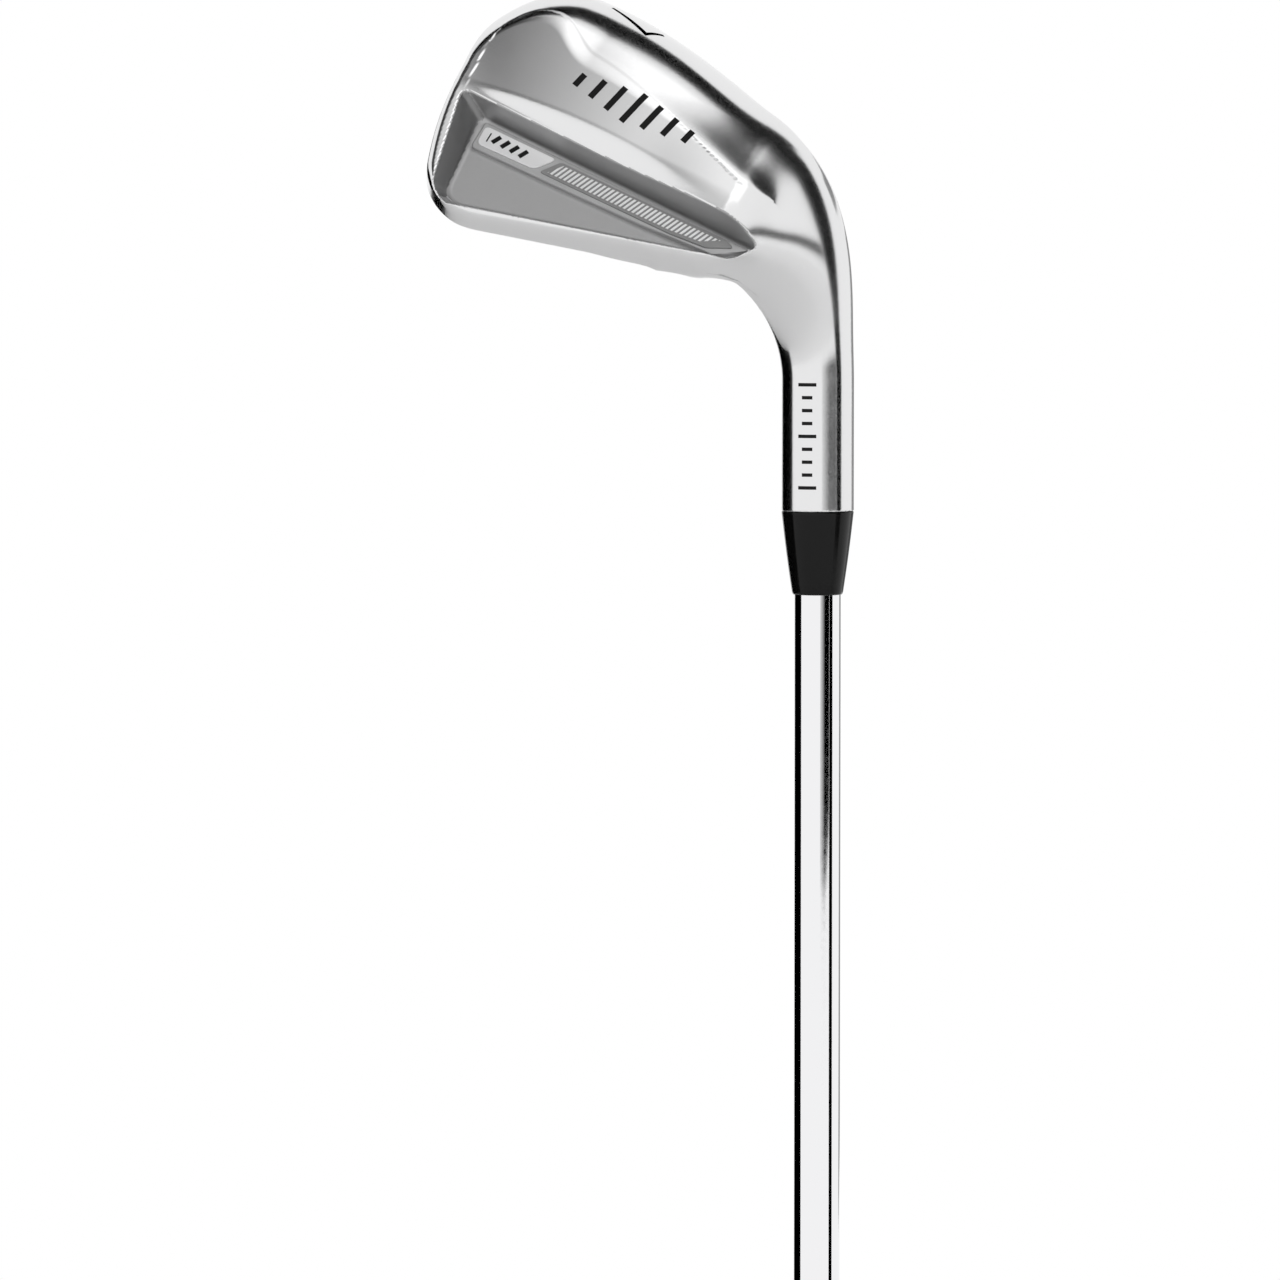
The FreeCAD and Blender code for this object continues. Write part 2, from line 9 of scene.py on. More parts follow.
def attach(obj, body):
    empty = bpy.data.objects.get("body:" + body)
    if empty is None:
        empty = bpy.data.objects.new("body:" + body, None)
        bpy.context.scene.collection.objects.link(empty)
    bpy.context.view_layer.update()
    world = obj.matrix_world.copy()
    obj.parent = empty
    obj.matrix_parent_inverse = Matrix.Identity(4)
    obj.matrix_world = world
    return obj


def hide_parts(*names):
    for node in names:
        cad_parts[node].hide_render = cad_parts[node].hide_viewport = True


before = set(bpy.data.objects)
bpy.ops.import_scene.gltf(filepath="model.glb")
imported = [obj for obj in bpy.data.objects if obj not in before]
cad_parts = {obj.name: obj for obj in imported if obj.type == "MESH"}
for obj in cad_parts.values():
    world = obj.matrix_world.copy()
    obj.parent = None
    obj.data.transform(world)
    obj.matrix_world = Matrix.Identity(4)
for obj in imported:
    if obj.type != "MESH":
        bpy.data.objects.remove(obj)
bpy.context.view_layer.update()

# Shapes are worked out in mm and made in metres.
MM = 0.001
LIE = math.radians(63.0)
LOFT = math.radians(34.0)
CLUB_LENGTH = 939.8                   # butt to the heel datum, where the shaft's axis meets the ground
FACE_LEAD = 5.0                       # how far the face stands ahead of the shaft's axis at the ground
COS_LOFT = math.cos(LOFT)
SIN_LOFT = math.sin(LOFT)
GROUND = np.array([0.0, 0.0, CLUB_LENGTH])
HEEL_TO_TOE = np.array([-math.sin(LIE), 0.0, math.cos(LIE)])
TARGET = np.array([0.0, 1.0, 0.0])
ADDRESS_UP = np.array([-math.cos(LIE), 0.0, -math.sin(LIE)])
FACE_NORMAL = TARGET * COS_LOFT + ADDRESS_UP * SIN_LOFT
FACE_UP = ADDRESS_UP * COS_LOFT - TARGET * SIN_LOFT
FACE_ORIGIN = GROUND + TARGET * FACE_LEAD

HOSEL_R = 7.32
HOSEL_END_Z = CLUB_LENGTH - 78.6
FERRULE_LENGTH = 16.9
TIP_R = 4.70
BUTT_R = 7.62


# ---------------------------------------------------------------- places on the head
def face_point(h, b, behind):
    """World point in mm: h along the blade, b up the face, some way behind it."""
    return FACE_ORIGIN + HEEL_TO_TOE * h + FACE_UP * b - FACE_NORMAL * behind


def to_world(local):
    """Rows of (h, b, behind) to rows of world mm."""
    return (FACE_ORIGIN + local[:, 0:1] * HEEL_TO_TOE + local[:, 1:2] * FACE_UP
            - local[:, 2:3] * FACE_NORMAL)


def to_local(world):
    """Rows of world mm to rows of (h, b, behind)."""
    rel = world - FACE_ORIGIN
    return np.stack([rel @ HEEL_TO_TOE, rel @ FACE_UP, -(rel @ FACE_NORMAL)], axis=1)


# ---------------------------------------------------------------- the head as one smooth field
def both(a, b, radius):
    """Inside both shapes, with the corner between them rounded to a radius."""
    over_a = np.maximum(a + radius, 0)
    over_b = np.maximum(b + radius, 0)
    return np.minimum(np.maximum(a, b), -radius) + np.sqrt(over_a * over_a + over_b * over_b)


def either(a, b, reach):
    """Inside either shape, with the hollow between them filled smoothly."""
    gap = np.maximum(reach - np.abs(a - b), 0) / reach
    return np.minimum(a, b) - gap * gap * gap * reach / 6


def eased(x):
    """Rises smoothly from 0 to 1 as x does, and stays level outside that."""
    x = np.clip(x, 0.0, 1.0)
    return x * x * (3 - 2 * x)


# Places on the blade are h from heel to toe, b up the face, t towards the target and u up at address.
CAMBER_R = 92.0                       # heel to toe curve of the sole
CAMBER_LOW_H = 43.0
SOLE_LOW_U = -2.1                     # lowest of the sole, below the heel datum
SOLE_LOW_T = -3.0
SOLE_ROLL_R = 12.8                    # front to back curve of the sole
ROLL_TOP_U = 26.0                     # the roll dies away up to this height
ROLL_FADE_U = 20.0
ROLL_TOE_H = 44.0                     # and from here towards the toe
ROLL_FADE_H = 18.0
TOE_CENTRE_H = 0.8
TOE_CENTRE_B = 28.0
TOE_R = 66.0
TOE_BULGE = 1.6                       # fullness of the toe low down
BULGE_TOP_B = 32.0
BULGE_FADE_B = 14.0
TOE_CORNER_R = 17.0
TOP_CORNER_R = 11.0
TOPLINE_B = 43.3
TOPLINE_SLOPE = 0.3395
TOPLINE_ROLL_R = 3.4
HEEL_H = -1.0
HEEL_R = 6.0

# Planes along the back of the blade: the shares of t and u in the plane's normal, then a point's t and u.
MUSCLE_PLANE = (0.907, 0.420, -14.90, 5.3)
BEVEL_PLANE = (0.991, 0.135, -21.40, 19.3)
RIM_PLANE = (0.887, 0.461, -22.30, 24.4)
MUSCLE_CROWN_H = 30.0                 # the muscle is very slightly rounded heel to toe
MUSCLE_CROWN_R = 480.0
MUSCLE_STEP = 0.08                    # the muscle stands this far below the shoulder round it
MUSCLE_STEP_IN = 2.6                  # and starts this far in from the edge
MUSCLE_STEP_WIDTH = 0.35
CREASE_R = 0.35                       # between the muscle and the bevel
RIM_REACH = 0.8                       # between the bevel and the rim
FACE_EDGE_R = 1.2                     # round the face, with more near the sole
FACE_EDGE_LOW_R = 1.8
BACK_EDGE_R = 1.5                     # round the back, with more near the sole
BACK_EDGE_LOW_R = 3.5
LOW_TOP_U = 20.0                      # what counts as near the sole, and how fast that fades in
LOW_FADE_U = 14.0


def topline_field(h, b):
    """Distance above the straight topline."""
    return (b - TOPLINE_B - TOPLINE_SLOPE * h) / math.hypot(1.0, TOPLINE_SLOPE)


def edge_field(h, b, t, u):
    """Distance outside the sole and toe: the sole's roll wraps up round the toe and dies away there."""
    level = CAMBER_R - np.sqrt((h - CAMBER_LOW_H) ** 2 + (CAMBER_R - u + SOLE_LOW_U) ** 2)
    above = np.maximum(b, TOE_CENTRE_B) - TOE_CENTRE_B
    bulge = TOE_BULGE * eased((BULGE_TOP_B - b) / BULGE_FADE_B)
    toe = np.sqrt((h - TOE_CENTRE_H) ** 2 + above ** 2) - TOE_R - bulge
    flat = both(toe, -level, TOE_CORNER_R)
    fade = eased((ROLL_TOP_U - u) / ROLL_FADE_U) * (1 - eased((h - ROLL_TOE_H) / ROLL_FADE_H))
    roll = fade * (t - SOLE_LOW_T) ** 2 / (2 * SOLE_ROLL_R)
    return (flat + roll) / np.sqrt(1 + (fade * (t - SOLE_LOW_T) / SOLE_ROLL_R) ** 2)


def plane_field(plane, t, u):
    """Distance behind one of the planes along the back."""
    share_t, share_u, at_t, at_u = plane
    return -share_t * (t - at_t) - share_u * (u - at_u)


def blade_field(h, b, behind, t, u):
    """Distance outside the blade: face, sole, muscle, bevel, rim and outline."""
    edge = edge_field(h, b, t, u)
    step = MUSCLE_STEP * eased((-edge - MUSCLE_STEP_IN) / MUSCLE_STEP_WIDTH)
    crown = (h - MUSCLE_CROWN_H) ** 2 / (2 * MUSCLE_CROWN_R)
    muscle = plane_field(MUSCLE_PLANE, t, u) + step + crown
    back = both(muscle, plane_field(BEVEL_PLANE, t, u), CREASE_R)
    topline = topline_field(h, b)
    rim = both(plane_field(RIM_PLANE, t, u), topline, TOPLINE_ROLL_R)
    thick = either(back, rim, RIM_REACH)
    outline = both(edge, topline, TOP_CORNER_R)
    low = eased((LOW_TOP_U - u) / LOW_FADE_U)
    body = both(-behind, outline, FACE_EDGE_R + FACE_EDGE_LOW_R * low)
    body = both(body, thick, BACK_EDGE_R + BACK_EDGE_LOW_R * low)
    return both(body, HEEL_H - h, HEEL_R)


# The neck turns the round hosel into the blade about a line beside it, like a fan opening.
FAN_X = -25.0
FAN_Z = 887.8
NECK_TURN = math.radians(72.0)        # angle over which the section changes
NECK_END = math.radians(92.0)         # angle at which the neck stops, inside the blade
NECK_END_STEEPNESS = 20
NECK_INNER = 6.8                      # how far the crotch side moves out as the hosel turns into blade
NECK_OUTER = 22.5                     # how far the sole side moves out
NECK_BACK = 13.5                      # how far the section moves back from the target
NECK_LEAN = 0.535                     # how much it leans with the loft
NECK_THIN = 1.6                       # how much thinner it gets
NECK_POWER = 2.1
NECK_SWELL = 1.8
NECK_TUCK = 2.6                       # draws the neck's inner end down inside the topline
TUCK_START = math.radians(70.0)
TUCK_TURN = math.radians(22.0)


def turn_share(angle):
    """How far the hosel has turned into blade, from its angle round the crotch."""
    x = np.clip(angle / NECK_TURN, 0.0, 1.0)
    return x ** NECK_POWER * (1 + NECK_SWELL * (1 - x) * x)


def neck_field(x, y, z):
    """Distance outside the hosel and the neck that bends and widens into the blade."""
    straight = np.sqrt(x * x + y * y) - HOSEL_R
    dx = x - FAN_X
    dz = z - FAN_Z
    out = np.sqrt(dx * dx + dz * dz)
    angle = np.arctan2(dz, dx)
    share = turn_share(angle)
    tuck = NECK_TUCK * eased((angle - TUCK_START) / TUCK_TURN)
    inner = -FAN_X - HOSEL_R + NECK_INNER * share + tuck
    outer = -FAN_X + HOSEL_R + NECK_OUTER * share
    middle = 0.5 * (inner + outer)
    half = 0.5 * (outer - inner)
    half_thick = HOSEL_R - NECK_THIN * share
    across = y + NECK_BACK * share - NECK_LEAN * share * (out - middle)
    bent = (np.sqrt(((out - middle) / half) ** 2 + (across / half_thick) ** 2) - 1) * half_thick
    limit = np.maximum(angle - NECK_END, -NECK_END - angle) * NECK_END_STEEPNESS
    return np.where(z < FAN_Z, straight, np.maximum(bent, limit))


# The cavity's walls: where each stands on the face, how it slopes along it, and how far it leans outwards.
POCKET_FLOOR = 3.2
SOLE_WALL_H = 20.0
SOLE_WALL_B = 35.8
SOLE_WALL_SLOPE = 0.030
SOLE_WALL_LEAN = 0.20
TOE_WALL_H = 58.7
TOE_WALL_B = 37.6
TOE_WALL_SLOPE = 0.16
TOE_WALL_SHARE = 0.92
TOE_WALL_LEAN = 0.80
TOP_WALL_B = 39.5
TOP_WALL_SLOPE = 0.336
TOP_WALL_SHARE = 0.948
TOP_WALL_LEAN = 0.45
HEEL_WALL_H = -3.6
HEEL_WALL_B = 34.9
HEEL_WALL_ALONG = 0.80
HEEL_WALL_UP = -0.45
HEEL_WALL_LEAN = 0.20
POCKET_TOE_R = 4.2
POCKET_SOLE_R = 1.8
POCKET_HEEL_R = 1.0
POCKET_FLOOR_R = 0.7


def cavity_field(h, b, behind):
    """Distance outside the cavity: four walls that lean outwards, and its floor."""
    depth = behind - POCKET_FLOOR
    sole_wall = -(b - SOLE_WALL_B - SOLE_WALL_SLOPE * (h - SOLE_WALL_H)) - SOLE_WALL_LEAN * depth
    toe_wall = (h - TOE_WALL_H + TOE_WALL_SLOPE * (b - TOE_WALL_B)) * TOE_WALL_SHARE
    toe_wall = toe_wall - TOE_WALL_LEAN * depth
    top_wall = (b - TOP_WALL_B - TOP_WALL_SLOPE * h) * TOP_WALL_SHARE - TOP_WALL_LEAN * depth
    heel_wall = -((h - HEEL_WALL_H) * HEEL_WALL_ALONG + (b - HEEL_WALL_B) * HEEL_WALL_UP)
    heel_wall = heel_wall - HEEL_WALL_LEAN * depth
    walls = both(toe_wall, top_wall, POCKET_TOE_R)
    walls = both(walls, sole_wall, POCKET_SOLE_R)
    walls = both(walls, heel_wall, POCKET_HEEL_R)
    return both(walls, -depth, POCKET_FLOOR_R)


GROOVE_FIRST_B = 8.0
GROOVE_PITCH = 3.55
GROOVE_COUNT = 13
GROOVE_HEEL_H = 12.0
GROOVE_TOE_H = 50.0
GROOVE_R = 0.55
GROOVE_CENTRE_OUT = 0.15              # the groove's centre lies this far in front of the face
GROOVE_END_R = 0.3
GROOVE_TOP_B = 41.0                   # the upper score lines start along the topline
GROOVE_TOP_SLOPE = 0.326


def groove_field(h, b, behind):
    """Distance outside the nearest score line on the face."""
    row = np.clip(np.round((b - GROOVE_FIRST_B) / GROOVE_PITCH), 0, GROOVE_COUNT - 1)
    row_b = GROOVE_FIRST_B + GROOVE_PITCH * row
    start = np.maximum(GROOVE_HEEL_H, (row_b - GROOVE_TOP_B) / GROOVE_TOP_SLOPE)
    side = np.sqrt((b - row_b) ** 2 + (behind + GROOVE_CENTRE_OUT) ** 2) - GROOVE_R
    ends = np.maximum(start - h, h - GROOVE_TOE_H)
    return both(side, ends, GROOVE_END_R)


NECK_REACH = 7.0                      # hollow filled between the blade and the neck
HOSEL_END_R = 0.3
POCKET_EDGE_R = 0.32
GROOVE_EDGE_R = 0.06


def head_field(local):
    """Signed distance in mm, less than zero inside the head's metal."""
    h = local[:, 0]
    b = local[:, 1]
    behind = local[:, 2]
    t = FACE_LEAD - b * SIN_LOFT - behind * COS_LOFT
    u = b * COS_LOFT - behind * SIN_LOFT
    x = h * HEEL_TO_TOE[0] + u * ADDRESS_UP[0]
    z = CLUB_LENGTH + h * HEEL_TO_TOE[2] + u * ADDRESS_UP[2]
    solid = either(blade_field(h, b, behind, t, u), neck_field(x, t, z), NECK_REACH)
    solid = both(solid, HOSEL_END_Z - z, HOSEL_END_R)
    solid = both(solid, -cavity_field(h, b, behind), POCKET_EDGE_R)
    return both(solid, -groove_field(h, b, behind), GROOVE_EDGE_R)


def slope_of(field, points, step=0.02):
    """Gradient of a field at many points."""
    parts = []
    for axis in range(3):
        offset = np.zeros(3)
        offset[axis] = step
        parts.append((field(points + offset) - field(points - offset)) / (2 * step))
    return np.stack(parts, axis=1)


LEAST_SLOPE = 0.05                    # keeps a step from growing where the field is nearly level
LONGEST_STEP = 0.3


def settle(field, points, rounds=3):
    """Moves points onto the zero surface and gives the surface's normals there."""
    for _ in range(rounds):
        value = field(points)
        slope = slope_of(field, points)
        steep = np.maximum((slope * slope).sum(axis=1), LEAST_SLOPE)
        move = np.clip(value / steep, -LONGEST_STEP, LONGEST_STEP)
        points = points - slope * move[:, None]
    slope = slope_of(field, points)
    length = np.maximum(np.sqrt((slope * slope).sum(axis=1)), 1e-6)
    return points, slope / length[:, None]


BLOCK_CELLS = 8                       # the grid is filled in blocks, and only near the surface
BLOCK_REACH = 1.35
BATCH_BLOCKS = 400
FAR_OUTSIDE = 9.0


def sampled_grid(field, low, high, cell):
    """Values of a field on a grid, worked out only in the blocks near its surface."""
    size = cell * BLOCK_CELLS
    counts = np.ceil((np.array(high, float) - low) / size).astype(int)
    grid = np.indices(tuple(counts)).reshape(3, -1).T
    near = np.abs(field(low + (grid + 0.5) * size)) < size * BLOCK_REACH
    values = np.full(tuple(counts * BLOCK_CELLS + 1), FAR_OUTSIDE, np.float32)
    steps = np.indices((BLOCK_CELLS + 1,) * 3).reshape(3, -1).T
    active = grid[near]
    for start in range(0, len(active), BATCH_BLOCKS):
        batch = active[start:start + BATCH_BLOCKS]
        corner = batch[:, None, :] * BLOCK_CELLS + steps[None, :, :]
        flat = corner.reshape(-1, 3)
        values[flat[:, 0], flat[:, 1], flat[:, 2]] = field(low + flat * cell)
    return values


def skin(field, low, high, cell):
    """Quads over the zero surface of a field, one corner per grid cell that it crosses."""
    low = np.array(low, float)
    values = sampled_grid(field, low, high, cell)
    inside = values < 0
    lower = inside[:-1, :-1, :-1]
    total = np.zeros(lower.shape, np.int8)
    for i in (0, 1):
        for j in (0, 1):
            for k in (0, 1):
                total += inside[i:i + lower.shape[0], j:j + lower.shape[1], k:k + lower.shape[2]]
    cells = np.argwhere((total > 0) & (total < 8))
    number = np.full(lower.shape, -1, np.int64)
    number[cells[:, 0], cells[:, 1], cells[:, 2]] = np.arange(len(cells))
    sums = np.zeros((len(cells), 3))
    hits = np.zeros(len(cells))
    for axis in range(3):
        others = [a for a in range(3) if a != axis]
        for p in (0, 1):
            for q in (0, 1):
                near_corner = np.zeros(3, int)
                near_corner[others[0]] = p
                near_corner[others[1]] = q
                far_corner = near_corner.copy()
                far_corner[axis] = 1
                first = cells + near_corner
                second = cells + far_corner
                a = values[first[:, 0], first[:, 1], first[:, 2]]
                c = values[second[:, 0], second[:, 1], second[:, 2]]
                crossing = (a < 0) != (c < 0)
                part = np.where(crossing, a / np.where(crossing, a - c, 1.0), 0.0)
                spot = near_corner[None, :].repeat(len(cells), 0).astype(float)
                spot[:, axis] = part
                sums += spot * crossing[:, None]
                hits += crossing
    points = low + (cells + sums / hits[:, None]) * cell
    quads = []
    for axis in range(3):
        ahead = [slice(None)] * 3
        behind = [slice(None)] * 3
        ahead[axis] = slice(1, None)
        behind[axis] = slice(None, -1)
        change = inside[tuple(behind)] != inside[tuple(ahead)]
        edges = np.argwhere(change)
        leaving = inside[tuple(behind)][edges[:, 0], edges[:, 1], edges[:, 2]]
        first, second = [a for a in range(3) if a != axis]
        ring = []
        for di, dj in ((-1, -1), (0, -1), (0, 0), (-1, 0)):
            place = edges.copy()
            place[:, first] += di
            place[:, second] += dj
            ring.append(number[place[:, 0], place[:, 1], place[:, 2]])
        quad = np.stack(ring, axis=1)
        forward = leaving if axis != 1 else ~leaving
        quad = np.where(forward[:, None], quad, quad[:, ::-1])
        quads.append(quad)
    return points, np.concatenate(quads)


# ---------------------------------------------------------------- meshes
def add_mesh(name, points_mm, faces, material, normals=None, smooth=True):
    """One mesh object from points in mm."""
    mesh = bpy.data.meshes.new(name)
    points = np.asarray(points_mm, float) * MM
    mesh.from_pydata(points.tolist(), [], [list(map(int, face)) for face in faces])
    mesh.materials.append(material)
    mesh.polygons.foreach_set("use_smooth", [smooth] * len(mesh.polygons))
    mesh.update()
    if normals is not None:
        mesh.normals_split_custom_set_from_vertices(normals.tolist())
    thing = bpy.data.objects.new(name, mesh)
    bpy.context.scene.collection.objects.link(thing)
    return thing


def register(thing, slot, *nodes):
    """The piece rides on the club's one body and stands for its CAD nodes."""
    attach(thing, "root")
    if nodes:
        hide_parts(*nodes)


def turned(name, profile, material, sides=128, wave=None):
    """Closed solid of revolution about the shaft axis from (radius, z) pairs in mm."""
    points = []
    faces = []
    turn = np.arange(sides) * 2 * math.pi / sides
    for radius, z in profile:
        ring_r = radius if wave is None else radius + wave(turn, z)
        ring_r = np.broadcast_to(ring_r, turn.shape)
        points += np.stack([ring_r * np.cos(turn), ring_r * np.sin(turn), np.full(sides, z)], 1).tolist()
    for row in range(len(profile)):
        below = row * sides
        above = ((row + 1) % len(profile)) * sides
        for i in range(sides):
            j = (i + 1) % sides
            faces.append((below + i, below + j, above + j, above + i))
    return add_mesh(name, points, faces, material)


def shade_by_angle(thing, degrees):
    """Smooth shading that keeps edges sharper than an angle."""
    bpy.context.view_layer.objects.active = thing
    thing.select_set(True)
    bpy.ops.object.shade_smooth_by_angle(angle=math.radians(degrees))
    thing.select_set(False)


def winding(outline):
    """1 for a polygon that runs anticlockwise, -1 for a clockwise one."""
    area = 0.0
    for i in range(len(outline)):
        x0, y0 = outline[i]
        x1, y1 = outline[(i + 1) % len(outline)]
        area += x0 * y1 - x1 * y0
    return 1.0 if area > 0 else -1.0


SHARPEST_MITRE = 0.3


def inset(outline, distance):
    """Moves each edge of a polygon inwards by a distance."""
    count = len(outline)
    sign = winding(outline)
    result = []
    for i in range(count):
        before = np.array(outline[i - 1])
        here = np.array(outline[i])
        after = np.array(outline[(i + 1) % count])
        d0 = (here - before) / np.linalg.norm(here - before)
        d1 = (after - here) / np.linalg.norm(after - here)
        n0 = np.array([-d0[1], d0[0]]) * sign
        n1 = np.array([-d1[1], d1[0]]) * sign
        mitre = n0 + n1
        mitre = mitre / max(float(mitre @ n0), SHARPEST_MITRE)
        result.append(tuple(here + mitre * distance))
    return result


CORNER_STEPS = 5
LONGEST_CORNER = 0.45                 # share of an edge that a corner's curve may take


def rounded(outline, radius):
    """Polygon with each corner replaced by an arc-like curve."""
    result = []
    count = len(outline)
    for i in range(count):
        before = np.array(outline[i - 1], float)
        here = np.array(outline[i], float)
        after = np.array(outline[(i + 1) % count], float)
        back = before - here
        on = after - here
        reach_back = min(radius, np.linalg.norm(back) * LONGEST_CORNER)
        reach_on = min(radius, np.linalg.norm(on) * LONGEST_CORNER)
        start = here + back / np.linalg.norm(back) * reach_back
        end = here + on / np.linalg.norm(on) * reach_on
        for k in range(CORNER_STEPS + 1):
            s = k / CORNER_STEPS
            result.append(tuple((1 - s) ** 2 * start + 2 * s * (1 - s) * here + s * s * end))
    return result


def side_faces(first, count, rows):
    """Quads between rings of points that follow one another."""
    faces = []
    for row in range(rows):
        low = first + row * count
        for i in range(count):
            j = (i + 1) % count
            faces.append((low + i, low + j, low + count + j, low + count + i))
    return faces


def plate(name, outline, low, high, bevel, material):
    """Flat plate parallel to the face with a bevelled top edge."""
    count = len(outline)
    rings = [(outline, low), (outline, high - bevel), (inset(outline, bevel), high)]
    points = []
    for ring, level in rings:
        points += [face_point(h, b, level) for h, b in ring]
    faces = side_faces(0, count, 2)
    faces.append(tuple(range(count))[::-1])
    faces.append(tuple(range(2 * count, 3 * count)))
    return add_mesh(name, points, faces, material, smooth=False)


def clip_to(outline, bar):
    """The part of a convex bar inside a convex outline."""
    count = len(outline)
    sign = winding(outline)
    kept = [np.array(p, float) for p in bar]
    for i in range(count):
        a = np.array(outline[i], float)
        c = np.array(outline[(i + 1) % count], float)
        edge = c - a
        if np.linalg.norm(edge) < 1e-6:
            continue
        normal = np.array([-edge[1], edge[0]]) * sign / np.linalg.norm(edge)
        cut = []
        for k in range(len(kept)):
            p = kept[k]
            q = kept[(k + 1) % len(kept)]
            dp = float((p - a) @ normal)
            dq = float((q - a) @ normal)
            if dp >= 0:
                cut.append(p)
            if (dp >= 0) != (dq >= 0):
                cut.append(p + (q - p) * dp / (dp - dq))
        kept = cut
        if len(kept) < 3:
            return []
    return [tuple(p) for p in kept]


def bar_between(start, end, width):
    """Corners of a flat bar with square ends."""
    a = np.array(start, float)
    c = np.array(end, float)
    along = (c - a) / np.linalg.norm(c - a)
    side = np.array([-along[1], along[0]]) * width / 2
    return [tuple(a + side), tuple(c + side), tuple(c - side), tuple(a - side)]


PAINT_LIFT = 0.02
PAINT_CELL = 0.22
PAINT_ROUNDS = 60                     # small steps that carry the paint in to the surface
PAINT_STEP = 1.5
PAINT_STEP_SHARE = 0.8


def painted_bars(name, bars, place, inward, material):
    """Thin paint skins laid on the head's surface inside flat bars drawn beside it."""
    points = []
    normals = []
    faces = []
    for bar in bars:
        a, c, d, e = [np.array(p, float) for p in bar]
        long_count = max(2, int(np.linalg.norm(c - a) / PAINT_CELL) + 1)
        wide_count = max(2, int(np.linalg.norm(e - a) / PAINT_CELL) + 1)
        first = len(points)
        rows = []
        for i in range(long_count):
            for j in range(wide_count):
                s = i / (long_count - 1)
                r = j / (wide_count - 1)
                spot = (a * (1 - s) + c * s) * (1 - r) + (e * (1 - s) + d * s) * r
                rows.append(place(spot[0], spot[1]))
        world = np.array(rows)
        for _ in range(PAINT_ROUNDS):
            gap = np.clip(head_field(to_local(world)), -PAINT_STEP, PAINT_STEP)
            world = world + inward * gap[:, None] * PAINT_STEP_SHARE
        local, local_normal = settle(head_field, to_local(world), 1)
        normal = to_world(local_normal) - FACE_ORIGIN
        points += (to_world(local) + normal * PAINT_LIFT).tolist()
        normals += normal.tolist()
        for i in range(long_count - 1):
            for j in range(wide_count - 1):
                k = first + i * wide_count + j
                faces.append((k, k + 1, k + wide_count + 1, k + wide_count))
    return add_mesh(name, points, faces, material, normals=np.array(normals))


# ---------------------------------------------------------------- materials
NOISE_ROUGHNESS = 0.6
BRUSH_SCALE = 60.0
BRUSH_STRETCH = (1.0, 60.0, 60.0)
CLOUD_SCALE = 90.0
CLOUD_SHARE = 0.35
BUMP_DEPTH = 0.00002
EVEN = (1.0, 1.0, 1.0)


def new_material(name):
    """An empty material with its node tree and its main shader."""
    material = bpy.data.materials.new(name)
    material.use_nodes = True
    tree = material.node_tree
    shader = tree.nodes["Principled BSDF"]
    return material, tree, shader


def stretched_noise(tree, scale, stretch, detail=4.0):
    """Object-space noise drawn out along one axis, for brushing and scratches."""
    coords = tree.nodes.new("ShaderNodeTexCoord")
    mapping = tree.nodes.new("ShaderNodeMapping")
    mapping.inputs["Scale"].default_value = stretch
    noise = tree.nodes.new("ShaderNodeTexNoise")
    noise.inputs["Scale"].default_value = scale
    noise.inputs["Detail"].default_value = detail
    noise.inputs["Roughness"].default_value = NOISE_ROUGHNESS
    tree.links.new(coords.outputs["Object"], mapping.inputs["Vector"])
    tree.links.new(mapping.outputs["Vector"], noise.inputs["Vector"])
    return noise.outputs["Fac"]


def ranged(tree, value, low, high, start=0.3, end=0.7):
    """Maps a value between start and end to a range."""
    node = tree.nodes.new("ShaderNodeMapRange")
    node.inputs["From Min"].default_value = start
    node.inputs["From Max"].default_value = end
    node.inputs["To Min"].default_value = low
    node.inputs["To Max"].default_value = high
    tree.links.new(value, node.inputs["Value"])
    return node.outputs["Result"]


def bumped(tree, shader, value, strength):
    """Raises the surface very slightly with a value."""
    bump = tree.nodes.new("ShaderNodeBump")
    bump.inputs["Strength"].default_value = strength
    bump.inputs["Distance"].default_value = BUMP_DEPTH
    tree.links.new(value, bump.inputs["Height"])
    tree.links.new(bump.outputs["Normal"], shader.inputs["Normal"])


def satin_steel(name, tone, rough_low, rough_high, brush=0.12):
    """Brushed steel: fine lines drawn out one way, with slow changes of gloss."""
    material, tree, shader = new_material(name)
    shader.inputs["Metallic"].default_value = 1.0
    shader.inputs["Base Color"].default_value = (tone, tone, tone * 1.005, 1)
    lines = stretched_noise(tree, BRUSH_SCALE, BRUSH_STRETCH)
    clouds = stretched_noise(tree, CLOUD_SCALE, EVEN, detail=2.0)
    mix = tree.nodes.new("ShaderNodeMix")
    mix.data_type = "FLOAT"
    mix.inputs["Factor"].default_value = CLOUD_SHARE
    tree.links.new(lines, mix.inputs["A"])
    tree.links.new(clouds, mix.inputs["B"])
    rough = ranged(tree, mix.outputs["Result"], rough_low, rough_high)
    tree.links.new(rough, shader.inputs["Roughness"])
    bumped(tree, shader, lines, brush)
    return material


def plain(name, colour, rough, metallic=0.0, grain=0.03, grain_scale=900.0, bump=0.05):
    """Plain finish with fine mottling in its gloss and surface."""
    material, tree, shader = new_material(name)
    shader.inputs["Base Color"].default_value = (*colour, 1)
    shader.inputs["Metallic"].default_value = metallic
    noise = stretched_noise(tree, grain_scale, EVEN, detail=3.0)
    gloss = ranged(tree, noise, max(rough - grain, 0.0), rough + grain)
    tree.links.new(gloss, shader.inputs["Roughness"])
    bumped(tree, shader, noise, bump)
    return material


DARK_SPECULAR = 0.22

